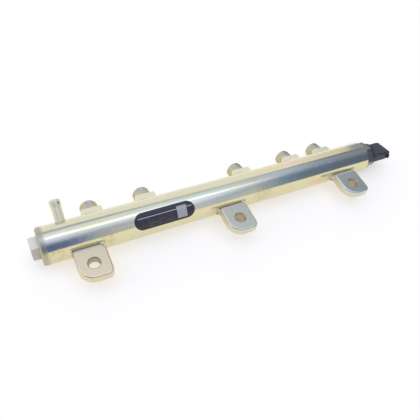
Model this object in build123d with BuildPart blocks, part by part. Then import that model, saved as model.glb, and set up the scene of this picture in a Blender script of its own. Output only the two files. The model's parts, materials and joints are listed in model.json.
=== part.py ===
from build123d import *
import os
from math import cos, radians, sin, sqrt, tan

# Common-rail fuel rail of a four-cylinder diesel engine: a thick-walled steel tube with brazed pipe stubs,
# a return barb and three mounting lugs, a pressure-limiting valve behind the plug at one end and a pressure
# sensor in the other. X runs along the rail, Z along the lug bolts. The origin is the centre of the middle
# bolt hole, in the plane that the lugs rest on. Millimetres throughout.

os.makedirs("parts", exist_ok=True)

# Rail tube
tube_d = 28.0
tube_length = 293.0
bore_d = 10.0
plug_end_chamfer = 1.2
sensor_end_chamfer = 1.8
entry_chamfer = 0.9

# Fits
braze_gap = 0.05
screw_gap = 0.1
press_gap = 0.02
guide_gap = 0.1
seat_gap = 0.05

# Cutters run past the faces that they open
overshoot = 1.0

# Mounting lugs, blanked plates that stand out level from the tube's side
lug_count = 3
lug_pitch = 115.5
lug_w = 23.0
lug_t = 7.0
lug_reach = 27.5
lug_edge = 11.6
lug_drop = 2.2
lug_hole_d = 8.5
lug_round_r = 11.0
lug_corner_r = 4.6
lug_clip = 3.0
lug_roll = 1.5
lug_groove = 1.6
lug_edge_break = 0.5
blank_overlap = 4.6
under_bevel = 1.8

# Brazing filler round the lugs; the first one took little at its left corner
braze_leg = 1.8
first_braze_leg = 0.6
braze_tail = 3.8
braze_climb = 1.7
braze_hollow = 0.7
braze_crown = 0.4
braze_recess = 0.5

# Pipe stubs, on the side away from the lugs and turned a little down, each with a square foot
outlet_xs = (-104.6, -62.0, 25.0, 111.1)
inlet_x = 76.5
stub_angle = -13.0
stub_thread_d = 14.0
stub_tip = 29.7
stub_tip_chamfer = 2.0
neck_d = 12.0
neck_w = 1.4
foot_af = 16.0
foot_top = 18.2
foot_corner_r = 0.7
foot_chamfer = 0.4
spigot_d = 9.0
spigot_depth = 4.0
stub_bore_d = 3.6
cone_mouth_d = 9.0
pipe_cone_half_angle = 30.0
cross_d = 3.0
throttle_wall = 0.5
throttle_length = 4.0
orifice_d = 0.9

# Return barb
barb_from_end = 18.3
barb_angle = 30.0
barb_d = 7.2
barb_bead_d = 8.0
barb_tip = 29.9
barb_tip_r = 1.4
barb_bead_l = 6.5
barb_bead_rise = 3.0
barb_bore_d = 3.8
barb_depth = 4.0
port_d = 3.0

# End plug
plug_thread_d = 18.0
plug_hole_depth = 16.0
plug_hex_af = 16.0
plug_hex_h = 5.5
plug_hex_chamfer = 0.8
hex_chamfer_angle = 30.0
plug_clock = 5.4
plug_neck_w = 1.6
plug_neck_d = 15.6
plug_seal_t = 1.2
plug_seal_clear = 0.2
plug_pocket_d = 10.4
plug_pocket_depth = 6.5

# Pressure-limiting valve behind the plug
chamber_d = 14.0
chamber_length = 20.0
seat_length = 7.0
orifice_seat_d = 2.4
seat_mouth_d = 6.4
seat_half_angle = 30.0
poppet_flange_d = 9.6
poppet_flange_t = 1.6
poppet_body_d = 5.6
poppet_tip_d = 1.6
poppet_stand = 2.0
poppet_stem_d = 3.6
stem_guide_l = 3.0
stem_clear = 0.4
shim_t = 0.8
shim_clear = 0.15
shim_bore_clear = 0.3
poppet_lift = 0.8
spring_wire = 1.5
spring_mean_d = 7.2
spring_turns = 5.5

# Pressure sensor
sensor_thread_d = 18.0
sensor_hole_depth = 14.0
sensor_seat_d = 15.0
sensor_cone_half_angle = 30.0
sensor_neck_d = 15.8
sensor_neck_w = 1.8
sensor_hex_af = 22.0
sensor_hex_h = 6.2
sensor_hex_chamfer = 0.9
sensor_hex_clock = -18.0
sensor_standoff = 0.5
sensor_port_d = 4.0
diaphragm_t = 0.8
nose_d = 13.6
nose_tip_d = 11.2
thread_lead = 1.1
cup_d = 18.6
rim_wall = 0.9
rim_h = 1.2
rim_lip = 0.5
sensor_clock = -12.0
flange_t = 2.6
flange_gap = 0.1
housing_neck_d = 17.2
housing_disc_d = 20.8
housing_disc_h = 2.4
housing_disc_gap = 0.2
housing_w = 17.8
housing_h = 8.6
housing_r = 1.6
housing_wall = 1.3
housing_end = 30.0
mouth_band = 2.6
mouth_inset = 0.35
socket_depth = 14.0
socket_corner_r = 1.5
latch_w = 3.2
latch_h = 2.1
latch_l = 2.6
latch_land = 1.0
key_rib_w = 1.2
key_rib_h = 0.8
key_rib_spread = 8.0
oring_cord = 1.4
terminal_count = 3
terminal_pitch = 4.0
terminal_w = 1.5
terminal_t = 0.6
terminal_out = 8.0
board_w = 10.0
board_h = 9.0
board_t = 1.0

# Label film on the tube's front
label_x = -56.5
label_length = 48.0
label_w = 13.2
label_angle = 135.0
label_t = 0.2

# Values worked out from the sizes above
tube_r = tube_d / 2
axis_y = lug_reach
axis_z = lug_drop
plug_end = -tube_length / 2
barb_x = plug_end + barb_from_end
sensor_end = tube_length / 2
chamber_start = plug_end + plug_hole_depth
chamber_end = chamber_start + chamber_length
seat_face = chamber_end - seat_length
lug_xs = [lug_pitch * (i - (lug_count - 1) / 2) for i in range(lug_count)]
rail_axis = Axis((0, axis_y, axis_z), (1, 0, 0))
lengthwise = Plane(origin=(0, axis_y, axis_z), x_dir=(1, 0, 0), z_dir=(0, -1, 0))


def across(x, clock=0.0):
    """Plane square to the rail at x; its own X points towards +Y, turned up by clock degrees."""
    turn = radians(clock)
    return Plane(origin=(x, axis_y, axis_z), x_dir=(0, cos(turn), sin(turn)), z_dir=(1, 0, 0))


def radial(x, angle):
    """Plane through the rail axis at x; its own X points outwards, angle degrees above +Y."""
    turn = radians(angle)
    outwards = (0, cos(turn), sin(turn))
    return Plane(origin=(x, axis_y, axis_z), x_dir=outwards, z_dir=(0, -sin(turn), cos(turn)))


def square_to(x, angle):
    """Plane through the rail axis at x, square to the way out that is angle degrees above +Y."""
    turn = radians(angle)
    return Plane(origin=(x, axis_y, axis_z), x_dir=(1, 0, 0), z_dir=(0, cos(turn), sin(turn)))


def outward(x, angle):
    """Axis that leaves the rail at x, angle degrees above +Y."""
    return Axis((x, axis_y, axis_z), (0, cos(radians(angle)), sin(radians(angle))))


def finish(name, block, colour):
    """Names a finished piece and writes it."""
    block.part.label = name
    block.part.color = Color(*colour)
    export_step(block.part, f"parts/{name}.step")


plated = (0.80, 0.78, 0.62)
steel = (0.72, 0.73, 0.75)
copper = (0.72, 0.48, 0.34)
black = (0.10, 0.10, 0.11)


# Rail tube: one turned and deep-drilled piece
plug_hole_r = plug_thread_d / 2 + screw_gap
sensor_hole_r = sensor_thread_d / 2 + screw_gap
sensor_floor = sensor_end - sensor_hole_depth
cone_length = (sensor_seat_d - bore_d) / 2 / tan(radians(sensor_cone_half_angle))
with BuildPart() as rail_tube:
    with BuildSketch(lengthwise):
        with BuildLine():
            Polyline(
                (plug_end, plug_hole_r + entry_chamfer),
                (plug_end, tube_r - plug_end_chamfer),
                (plug_end + plug_end_chamfer, tube_r),
                (sensor_end - sensor_end_chamfer, tube_r),
                (sensor_end, tube_r - sensor_end_chamfer),
                (sensor_end, sensor_hole_r + entry_chamfer),
                (sensor_end - entry_chamfer, sensor_hole_r),
                (sensor_floor, sensor_hole_r),
                (sensor_floor, sensor_seat_d / 2),
                (sensor_floor - cone_length, bore_d / 2),
                (chamber_end, bore_d / 2),
                (chamber_end, chamber_d / 2),
                (chamber_start, chamber_d / 2),
                (chamber_start, plug_hole_r),
                (plug_end + entry_chamfer, plug_hole_r),
                close=True,
            )
        make_face()
    revolve(axis=rail_axis)
    for x in (*outlet_xs, inlet_x):
        with BuildSketch(radial(x, stub_angle)):
            with BuildLine():
                Polyline(
                    (0, 0),
                    (tube_r + overshoot, 0),
                    (tube_r + overshoot, spigot_d / 2 + braze_gap),
                    (tube_r - spigot_depth, spigot_d / 2 + braze_gap),
                    (tube_r - spigot_depth, cross_d / 2),
                    (0, cross_d / 2),
                    close=True,
                )
            make_face()
        revolve(axis=outward(x, stub_angle), mode=Mode.SUBTRACT)
    with BuildSketch(radial(barb_x, barb_angle)):
        with BuildLine():
            Polyline(
                (0, 0),
                (tube_r + overshoot, 0),
                (tube_r + overshoot, barb_d / 2 + braze_gap),
                (tube_r - barb_depth, barb_d / 2 + braze_gap),
                (tube_r - barb_depth, port_d / 2),
                (0, port_d / 2),
                close=True,
            )
        make_face()
    revolve(axis=outward(barb_x, barb_angle), mode=Mode.SUBTRACT)
finish("rail_tube", rail_tube, plated)


# Pipe stubs: forged and turned, with a square saddle-cut foot and a spigot that enters the tube wall
cone_depth = (cone_mouth_d - stub_bore_d) / 2 / tan(radians(pipe_cone_half_angle))
throttle_r = stub_bore_d / 2 + throttle_wall
throttle_start = tube_r - spigot_depth + braze_gap
stub_names = [f"outlet_{i + 1}" for i in range(len(outlet_xs))] + ["pump_inlet"]
for name, x in zip(stub_names, (*outlet_xs, inlet_x)):
    with BuildPart() as stub:
        with BuildSketch(square_to(x, stub_angle)):
            RectangleRounded(foot_af, foot_af, foot_corner_r)
        extrude(amount=foot_top)
        chamfer(edges().group_by(outward(x, stub_angle))[-1], foot_chamfer)
        with BuildSketch(radial(x, stub_angle)):
            with BuildLine():
                Polyline(
                    (0, 0),
                    (stub_tip, 0),
                    (stub_tip, stub_thread_d / 2 - stub_tip_chamfer),
                    (stub_tip - stub_tip_chamfer, stub_thread_d / 2),
                    (foot_top + neck_w, stub_thread_d / 2),
                    (foot_top + neck_w, neck_d / 2),
                    (0, neck_d / 2),
                    close=True,
                )
            make_face()
        revolve(axis=outward(x, stub_angle))
        with BuildSketch(across(x - foot_af)):
            Circle(tube_r + braze_gap)
        extrude(amount=2 * foot_af, mode=Mode.SUBTRACT)
        with BuildSketch(radial(x, stub_angle)):
            with BuildLine():
                Polyline(
                    (throttle_start, 0),
                    (foot_top, 0),
                    (foot_top, spigot_d / 2),
                    (throttle_start, spigot_d / 2),
                    close=True,
                )
            make_face()
        revolve(axis=outward(x, stub_angle))
        with BuildSketch(radial(x, stub_angle)):
            with BuildLine():
                Polyline(
                    (throttle_start - overshoot, 0),
                    (stub_tip + overshoot, 0),
                    (stub_tip + overshoot, cone_mouth_d / 2),
                    (stub_tip, cone_mouth_d / 2),
                    (stub_tip - cone_depth, stub_bore_d / 2),
                    (throttle_start + throttle_length + press_gap, stub_bore_d / 2),
                    (throttle_start + throttle_length + press_gap, throttle_r + press_gap),
                    (throttle_start - overshoot, throttle_r + press_gap),
                    close=True,
                )
            make_face()
        revolve(axis=outward(x, stub_angle), mode=Mode.SUBTRACT)
    finish(name, stub, plated)


# Throttles: orifice sleeves pressed into the four outlets from below, which even out pressure waves
for i, x in enumerate(outlet_xs):
    with BuildPart() as throttle:
        with BuildSketch(radial(x, stub_angle)):
            with BuildLine():
                Polyline(
                    (throttle_start, throttle_r - throttle_wall),
                    (throttle_start, throttle_r),
                    (throttle_start + throttle_length, throttle_r),
                    (throttle_start + throttle_length, orifice_d / 2),
                    (throttle_start + throttle_length / 2, orifice_d / 2),
                    close=True,
                )
            make_face()
        revolve(axis=outward(x, stub_angle))
    finish(f"throttle_{i + 1}", throttle, steel)


# Return barb: drawn nipple with a long bead and a rounded mouth that hold the leak-off hose
barb_start = tube_r - barb_depth + braze_gap
bead_start = barb_tip - barb_bead_l
bead_r = barb_bead_d / 2
with BuildPart() as return_barb:
    with BuildSketch(radial(barb_x, barb_angle)):
        with BuildLine():
            Polyline(
                (barb_tip, bead_r - barb_tip_r),
                (barb_tip, barb_bore_d / 2),
                (barb_start, barb_bore_d / 2),
                (barb_start, barb_d / 2),
                (bead_start, barb_d / 2),
                (bead_start + barb_bead_rise, bead_r),
                (barb_tip - barb_tip_r, bead_r),
            )
            RadiusArc((barb_tip - barb_tip_r, bead_r), (barb_tip, bead_r - barb_tip_r), barb_tip_r)
        make_face()
    revolve(axis=outward(barb_x, barb_angle))
finish("return_barb", return_barb, plated)


# Mounting lugs: fine-blanked plates with one full and one small corner. Blanking has rolled the upper rim
# over, and the inner edge is rounded above and bevelled below against the tube.
lug_touch = axis_y - tube_r
lug_top = lug_t - lug_drop
lug_blank = lug_touch + blank_overlap
under_lip = -sqrt((tube_r + braze_gap) ** 2 - lug_drop**2)
for i, x in enumerate(lug_xs):
    with BuildPart() as lug:
        with BuildSketch(Plane.XY):
            with BuildLine():
                Polyline(
                    (x - lug_w / 2, lug_blank),
                    (x - lug_w / 2, -lug_edge),
                    (x + lug_w / 2, -lug_edge),
                    (x + lug_w / 2, lug_touch - lug_clip),
                    (x + lug_w / 2 - lug_clip, lug_touch),
                    (x + lug_w / 2 - lug_clip, lug_blank),
                    close=True,
                )
            make_face()
            fillet(vertices().group_by(Axis.Y)[0].sort_by(Axis.X)[0], lug_round_r)
            fillet(vertices().group_by(Axis.Y)[0].sort_by(Axis.X)[-1], lug_corner_r)
        extrude(amount=lug_t)
        rims = edges().filter_by(lambda e: abs(e.tangent_at(0.5).Z) < 0.5 and e.center().Y < lug_touch)
        fillet(rims.group_by(Axis.Z)[-1], lug_roll)
        chamfer(rims.group_by(Axis.Z)[0], lug_edge_break)
        with Locations((x, 0, 0)):
            Hole(lug_hole_d / 2, depth=2 * lug_t)
        rounds = edges().filter_by(GeomType.CIRCLE)
        chamfer(rounds.filter_by(lambda e: abs(e.radius - lug_hole_d / 2) < 0.01), lug_edge_break)
        with BuildSketch(across(x - lug_w)):
            Circle(tube_r + braze_gap)
            with BuildLine():
                Polyline(
                    (under_lip - under_bevel, -lug_drop),
                    (under_lip + 2 * under_bevel, 3 * under_bevel - lug_drop),
                    (under_lip + 2 * under_bevel, -lug_drop),
                    close=True,
                )
            make_face()
        extrude(amount=2 * lug_w, mode=Mode.SUBTRACT)
        inner = edges().filter_by(Axis.X).group_by(Axis.Z)[-1].sort_by(Axis.Y)[-1]
        fillet(inner, lug_groove)
    finish(f"lug_{i + 1}", lug, plated)


# Brazing filler: it fills the bevel under each lug, no lower than the lug, and turns up both its ends
clip_x = lug_w / 2 - lug_clip


def hollow(start, corner, end):
    """Middle of the hollow face of a fillet of filler that spans a corner from start to end."""
    return tuple(c + braze_hollow * ((a + b) / 2 - c) for a, b, c in zip(start, end, corner))


for i, x in enumerate(lug_xs):
    left = x - lug_w / 2
    right = x + clip_x
    leg = first_braze_leg if i == 0 else braze_leg
    with BuildPart() as braze:
        with BuildSketch(Plane.XY):
            with BuildLine():
                start, end = (left, lug_touch - leg), (left - leg, lug_touch)
                ThreePointArc(start, hollow(start, (left, lug_touch), end), end)
                Polyline(end, (left - leg, lug_blank), (left, lug_blank), start)
            make_face()
        extrude(amount=lug_t - lug_roll)
        with BuildSketch(Plane.XY):
            with BuildLine():
                start, end = (right + braze_tail, lug_touch), (right + braze_climb, lug_touch - braze_climb)
                ThreePointArc(start, hollow(start, (right, lug_touch), end), end)
                Polyline(end, (right, lug_touch), (right, lug_blank), (right + braze_tail, lug_blank), start)
            make_face()
        extrude(amount=lug_t + braze_crown)
        with BuildSketch(across(left - leg)):
            with BuildLine():
                Polyline(
                    (under_lip - under_bevel, -lug_drop),
                    (under_lip + under_bevel, 2 * braze_recess - lug_drop),
                    (under_lip + under_bevel, 2 * under_bevel - lug_drop),
                    close=True,
                )
            make_face()
        extrude(amount=right + braze_climb - left + leg)
        with BuildSketch(across(x - lug_w)):
            Circle(tube_r + braze_gap)
        extrude(amount=2 * lug_w, mode=Mode.SUBTRACT)
    finish(f"braze_{i + 1}", braze, copper)


# End plug: hexagon screw plug with a spring pocket and a guide for the poppet's stem
plug_face = chamber_start - plug_seal_t
pocket_floor = plug_face - plug_pocket_depth
guide_floor = pocket_floor - stem_guide_l
with BuildPart() as end_plug:
    with BuildSketch(across(plug_end - plug_hex_h, plug_clock)):
        RegularPolygon(plug_hex_af / 2, 6, major_radius=False)
    extrude(amount=plug_hex_h)
    hex_corner_r = plug_hex_af / sqrt(3)
    with BuildSketch(lengthwise):
        with BuildLine():
            Polyline(
                (plug_end - plug_hex_h, 0),
                (plug_end - plug_hex_h, hex_corner_r - plug_hex_chamfer / tan(radians(hex_chamfer_angle))),
                (plug_end - plug_hex_h + plug_hex_chamfer, hex_corner_r),
                (plug_end, hex_corner_r),
                (plug_end, 0),
                close=True,
            )
        make_face()
    revolve(axis=rail_axis, mode=Mode.INTERSECT)
    with BuildSketch(lengthwise):
        with BuildLine():
            Polyline(
                (plug_end, 0),
                (plug_end, plug_neck_d / 2),
                (plug_end + plug_neck_w, plug_neck_d / 2),
                (plug_end + plug_neck_w, plug_thread_d / 2),
                (plug_face - entry_chamfer, plug_thread_d / 2),
                (plug_face, plug_thread_d / 2 - entry_chamfer),
                (plug_face, plug_pocket_d / 2),
                (pocket_floor, plug_pocket_d / 2),
                (pocket_floor, poppet_stem_d / 2 + guide_gap),
                (guide_floor, poppet_stem_d / 2 + guide_gap),
                (guide_floor, 0),
                close=True,
            )
        make_face()
    revolve(axis=rail_axis)
finish("end_plug", end_plug, steel)


# Copper ring that the plug clamps on the step of its hole
with BuildPart() as plug_seal:
    with BuildSketch(across(plug_face)):
        Circle(plug_hole_r - plug_seal_clear)
        Circle(chamber_d / 2 + plug_seal_clear, mode=Mode.SUBTRACT)
    extrude(amount=plug_seal_t)
finish("plug_seal", plug_seal, copper)


# Valve seat: hardened insert pressed against the end of the chamber
seat_slope = tan(radians(seat_half_angle))
seat_cone_l = (seat_mouth_d - orifice_seat_d) / 2 / seat_slope
with BuildPart() as valve_seat:
    with BuildSketch(lengthwise):
        with BuildLine():
            Polyline(
                (seat_face, seat_mouth_d / 2),
                (seat_face, chamber_d / 2 - press_gap),
                (chamber_end, chamber_d / 2 - press_gap),
                (chamber_end, orifice_seat_d / 2),
                (seat_face + seat_cone_l, orifice_seat_d / 2),
                close=True,
            )
        make_face()
    revolve(axis=rail_axis)
finish("valve_seat", valve_seat, steel)


# Poppet: cone tip, spring flange and guide stem, turned in one
cone_gap = seat_gap / cos(radians(seat_half_angle))
cone_root = seat_face + (seat_mouth_d / 2 - cone_gap - poppet_body_d / 2) / seat_slope
cone_tip = cone_root + (poppet_body_d - poppet_tip_d) / 2 / seat_slope
flange_right = seat_face - poppet_stand
flange_left = flange_right - poppet_flange_t
stem_end = guide_floor + poppet_lift + stem_clear
with BuildPart() as valve_poppet:
    with BuildSketch(lengthwise):
        with BuildLine():
            Polyline(
                (stem_end, 0),
                (stem_end, poppet_stem_d / 2),
                (flange_left, poppet_stem_d / 2),
                (flange_left, poppet_flange_d / 2),
                (flange_right, poppet_flange_d / 2),
                (flange_right, poppet_body_d / 2),
                (cone_root, poppet_body_d / 2),
                (cone_tip, poppet_tip_d / 2),
                (cone_tip, 0),
                close=True,
            )
        make_face()
    revolve(axis=rail_axis)
finish("valve_poppet", valve_poppet, steel)


# Shim that sets the opening pressure, on the floor of the plug's pocket
with BuildPart() as spring_shim:
    with BuildSketch(across(pocket_floor)):
        Circle(plug_pocket_d / 2 - shim_clear)
        Circle(poppet_stem_d / 2 + shim_bore_clear, mode=Mode.SUBTRACT)
    extrude(amount=shim_t)
finish("spring_shim", spring_shim, steel)


# Valve spring: round wire, ends ground flat
spring_start = pocket_floor + shim_t
spring_length = flange_left - spring_start
with BuildPart() as valve_spring:
    with BuildLine() as coil:
        Helix(
            pitch=spring_length / spring_turns,
            height=spring_length,
            radius=spring_mean_d / 2,
            center=(spring_start, axis_y, axis_z),
            direction=(1, 0, 0),
        )
    with BuildSketch(Plane(origin=coil.line @ 0, z_dir=coil.line % 0)):
        Circle(spring_wire / 2)
    sweep(path=coil.line, is_frenet=True)
    with BuildSketch(across(spring_start)):
        Circle(spring_mean_d)
    extrude(amount=spring_length, mode=Mode.INTERSECT)
finish("valve_spring", valve_spring, steel)


# Sensor body: steel pressure port with screw thread, sealing nose, hexagon and a crimped cup
hex_start = sensor_end + sensor_standoff
hex_end = hex_start + sensor_hex_h
rim_end = hex_end + rim_h
lip_face = rim_end - rim_lip
cup_floor = lip_face - flange_t - oring_cord
nose_slope = tan(radians(sensor_cone_half_angle))
nose_gap = seat_gap / cos(radians(sensor_cone_half_angle))
nose_root = sensor_floor - (sensor_seat_d / 2 - nose_gap - nose_d / 2) / nose_slope
nose_tip = nose_root - (nose_d - nose_tip_d) / 2 / nose_slope
with BuildPart() as sensor_body:
    with BuildSketch(across(hex_start, sensor_hex_clock)):
        RegularPolygon(sensor_hex_af / 2, 6, major_radius=False)
    extrude(amount=sensor_hex_h)
    sensor_corner_r = sensor_hex_af / sqrt(3)
    slant = sensor_hex_chamfer / tan(radians(hex_chamfer_angle))
    with BuildSketch(lengthwise):
        with BuildLine():
            Polyline(
                (hex_start, 0),
                (hex_start, sensor_corner_r - slant),
                (hex_start + sensor_hex_chamfer, sensor_corner_r),
                (hex_end - sensor_hex_chamfer, sensor_corner_r),
                (hex_end, sensor_corner_r - slant),
                (hex_end, 0),
                close=True,
            )
        make_face()
    revolve(axis=rail_axis, mode=Mode.INTERSECT)
    with BuildSketch(lengthwise):
        with BuildLine():
            Polyline(
                (nose_tip, 0),
                (nose_tip, nose_tip_d / 2),
                (nose_root, nose_d / 2),
                (sensor_floor + thread_lead, nose_d / 2),
                (sensor_floor + thread_lead, sensor_thread_d / 2 - thread_lead),
                (sensor_floor + 2 * thread_lead, sensor_thread_d / 2),
                (sensor_end - sensor_neck_w, sensor_thread_d / 2),
                (sensor_end - sensor_neck_w, sensor_neck_d / 2),
                (hex_start, sensor_neck_d / 2),
                (hex_start, cup_d / 2 + rim_wall),
                (rim_end, cup_d / 2 + rim_wall),
                (rim_end, 0),
                close=True,
            )
        make_face()
    revolve(axis=rail_axis)
    with BuildSketch(lengthwise):
        with BuildLine():
            Polyline(
                (rim_end + overshoot, 0),
                (rim_end + overshoot, cup_d / 2 - rim_lip),
                (lip_face, cup_d / 2 - rim_lip),
                (lip_face, cup_d / 2),
                (cup_floor, cup_d / 2),
                (cup_floor, 0),
                close=True,
            )
        make_face()
    revolve(axis=rail_axis, mode=Mode.SUBTRACT)
    with BuildSketch(across(nose_tip)):
        Circle(sensor_port_d / 2)
    extrude(amount=cup_floor - diaphragm_t - nose_tip, mode=Mode.SUBTRACT)
finish("sensor_body", sensor_body, steel)


# Seal ring between the cup and the connector's flange
with BuildPart() as sensor_oring:
    with BuildSketch(lengthwise):
        with Locations((cup_floor + oring_cord / 2, cup_d / 2 - oring_cord / 2 - press_gap)):
            Circle(oring_cord / 2)
    revolve(axis=rail_axis)
finish("sensor_oring", sensor_oring, black)


# Sensor board: small circuit board that stands on the diaphragm
with BuildPart() as sensor_board:
    with BuildSketch(across(cup_floor, sensor_clock)):
        RectangleRounded(board_w, board_h, board_t)
    extrude(amount=board_t)
finish("sensor_board", sensor_board, (0.10, 0.32, 0.18))


# Connector housing: moulded in black, held by the crimped rim, with an open socket at its end
shroud_start = rim_end + housing_disc_gap + housing_disc_h
shroud_end = sensor_end + housing_end
socket_floor = shroud_end - socket_depth
terminal_ys = [terminal_pitch * (i - (terminal_count - 1) / 2) for i in range(terminal_count)]
with BuildPart() as sensor_housing:
    with BuildSketch(lengthwise):
        with BuildLine():
            Polyline(
                (lip_face - flange_t, 0),
                (lip_face - flange_t, cup_d / 2 - flange_gap),
                (lip_face, cup_d / 2 - flange_gap),
                (lip_face, housing_neck_d / 2),
                (rim_end + housing_disc_gap, housing_neck_d / 2),
                (rim_end + housing_disc_gap, housing_disc_d / 2),
                (shroud_start, housing_disc_d / 2),
                (shroud_start, 0),
                close=True,
            )
        make_face()
    revolve(axis=rail_axis)
    with BuildSketch(across(shroud_start, sensor_clock)):
        RectangleRounded(housing_w, housing_h, housing_r)
    extrude(amount=shroud_end - mouth_band - shroud_start)
    with BuildSketch(across(shroud_end - mouth_band, sensor_clock)):
        RectangleRounded(housing_w - 2 * mouth_inset, housing_h - 2 * mouth_inset, housing_r - mouth_inset)
    extrude(amount=mouth_band)
    with BuildSketch(across(socket_floor, sensor_clock)):
        with Locations((0, -(housing_h + key_rib_h) / 2)):
            with GridLocations(key_rib_spread, 0, 2, 1):
                Rectangle(key_rib_w, 2 * key_rib_h)
    extrude(amount=socket_depth)
    mouth = across(shroud_end, sensor_clock)
    with BuildSketch(Plane(origin=mouth.origin, x_dir=mouth.x_dir, z_dir=-mouth.y_dir)):
        with BuildLine():
            Polyline(
                (-housing_w / 2 + housing_r, -latch_l),
                (-housing_w / 2 - latch_h, -latch_l),
                (-housing_w / 2 - latch_h, -latch_l + latch_land),
                (-housing_w / 2, 0),
                (-housing_w / 2 + housing_r, 0),
                close=True,
            )
        make_face()
    extrude(amount=latch_w / 2, both=True)
    with BuildSketch(across(socket_floor, sensor_clock)):
        RectangleRounded(housing_w - 2 * housing_wall, housing_h - 2 * housing_wall, socket_corner_r)
    extrude(amount=socket_depth + overshoot, mode=Mode.SUBTRACT)
    with BuildSketch(across(cup_floor, sensor_clock)):
        with Locations(*[(y, 0) for y in terminal_ys]):
            Rectangle(terminal_w + 2 * press_gap, terminal_t + 2 * press_gap)
    extrude(amount=shroud_end - cup_floor, mode=Mode.SUBTRACT)
finish("sensor_housing", sensor_housing, black)


# Terminals: tinned blades from the board through the socket's floor
for i, y in enumerate(terminal_ys):
    with BuildPart() as terminal:
        with BuildSketch(across(cup_floor + board_t, sensor_clock)):
            with Locations((y, 0)):
                Rectangle(terminal_w, terminal_t)
        extrude(amount=socket_floor + terminal_out - cup_floor - board_t)
    finish(f"terminal_{i + 1}", terminal, steel)


# Type label: film stuck round the tube's front, left bare
label_turn = radians(label_angle)
label_out = (0, cos(label_turn), sin(label_turn))
with BuildPart() as type_label:
    with BuildSketch(across(label_x - label_length / 2)):
        Circle(tube_r + braze_gap + label_t)
        Circle(tube_r + braze_gap, mode=Mode.SUBTRACT)
    extrude(amount=label_length)
    with BuildSketch(Plane(origin=(label_x, axis_y, axis_z), x_dir=(1, 0, 0), z_dir=label_out)):
        SlotOverall(label_length, label_w)
    extrude(amount=2 * tube_r, mode=Mode.INTERSECT)
finish("type_label", type_label, black)
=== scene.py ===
import json
import math

import bmesh
import bpy
from mathutils import Matrix, Vector, noise


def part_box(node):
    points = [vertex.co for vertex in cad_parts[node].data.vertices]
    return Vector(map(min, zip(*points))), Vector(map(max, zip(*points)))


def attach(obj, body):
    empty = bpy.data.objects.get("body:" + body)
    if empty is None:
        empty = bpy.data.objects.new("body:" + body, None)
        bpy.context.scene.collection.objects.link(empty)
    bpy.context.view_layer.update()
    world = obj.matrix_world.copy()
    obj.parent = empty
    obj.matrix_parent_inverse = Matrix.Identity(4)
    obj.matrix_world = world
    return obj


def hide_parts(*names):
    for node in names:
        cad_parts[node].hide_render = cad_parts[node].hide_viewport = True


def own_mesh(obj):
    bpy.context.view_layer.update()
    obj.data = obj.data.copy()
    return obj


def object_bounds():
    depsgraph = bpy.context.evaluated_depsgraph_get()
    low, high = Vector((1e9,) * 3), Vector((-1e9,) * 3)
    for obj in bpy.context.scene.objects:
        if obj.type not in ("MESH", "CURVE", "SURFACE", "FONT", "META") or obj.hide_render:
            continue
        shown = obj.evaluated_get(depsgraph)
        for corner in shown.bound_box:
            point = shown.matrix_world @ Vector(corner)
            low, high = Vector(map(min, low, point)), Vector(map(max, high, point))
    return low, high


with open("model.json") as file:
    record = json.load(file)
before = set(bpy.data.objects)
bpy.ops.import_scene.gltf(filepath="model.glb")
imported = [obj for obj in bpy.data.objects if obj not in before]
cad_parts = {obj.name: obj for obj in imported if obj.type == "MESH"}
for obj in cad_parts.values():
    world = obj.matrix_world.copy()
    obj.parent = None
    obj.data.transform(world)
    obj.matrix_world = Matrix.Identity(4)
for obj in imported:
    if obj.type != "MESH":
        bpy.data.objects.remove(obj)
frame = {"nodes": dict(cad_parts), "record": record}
cad_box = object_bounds()
scene = bpy.context.scene


# Camera: where the photographer stood, to the left of the rail and above it, looking down along it. Its
# turn is in degrees, and its lens in millimetres, for a sensor 36 mm wide.
camera_place = (-0.1442, -0.1462, 0.2705)
camera_turn = (36.645, -9.169, -25.651)
camera_lens = 36.43
camera = bpy.data.objects.new("camera", bpy.data.cameras.new("camera"))
camera.location = camera_place
camera.rotation_euler = [math.radians(angle) for angle in camera_turn]
camera.data.lens = camera_lens
camera.data.sensor_width = 36.0
camera.data.clip_start = 0.01
camera.data.clip_end = 50.0
scene.collection.objects.link(camera)
scene.camera = camera
scene.view_settings.view_transform = "Standard"


# Table: a sheet of white paper under the rail. It takes the rail's soft shadow, has painted shade right
# under the tube and behind two of the lugs, and shows white to the camera and in the metal.
mm = 0.001
table_drop = 0.4 * mm
table_radius = 3.0
table_sides = 96
paper_colour = (0.745, 0.665, 0.48)
paper_glow = 0.52
shade_colour = (0.60, 0.50, 0.34)
shade_on_glow = 0.85
tube_shade_x = (-0.138, 0.138)
tube_shade_y = (0.0235, 0.0410)
tube_shade_soft = 3.5 * mm
tube_shade_depth = 0.6
lug_shade_places = ((0.0086, 0.0101), (0.131, 0.0101))
lug_shade_reach = (2.5 * mm, 11.0 * mm)


def node(tree, kind, links=None, **settings):
    """Adds a node; links maps its input names to a socket or a value, and settings are its properties."""
    made = tree.nodes.new(kind)
    for name, value in settings.items():
        setattr(made, name, value)
    for name, value in (links or {}).items():
        if isinstance(value, bpy.types.NodeSocket):
            tree.links.new(value, made.inputs[name])
        else:
            made.inputs[name].default_value = value
    return made


def maths(tree, operation, first, second=0.0, third=0.0):
    """Result of one Math node."""
    return node(tree, "ShaderNodeMath", {0: first, 1: second, 2: third}, operation=operation).outputs[0]


def mix(tree, factor, first, second, blend="MIX"):
    """Colour of one Mix node; a plain colour is given as three numbers."""
    first, second = ((*c, 1.0) if isinstance(c, tuple) else c for c in (first, second))
    made = node(tree, "ShaderNodeMix", data_type="RGBA", blend_type=blend)
    for name, value in (("Factor", factor), ("A", first), ("B", second)):
        if isinstance(value, bpy.types.NodeSocket):
            tree.links.new(value, made.inputs[name])
        else:
            made.inputs[name].default_value = value
    return made.outputs["Result"]


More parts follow.
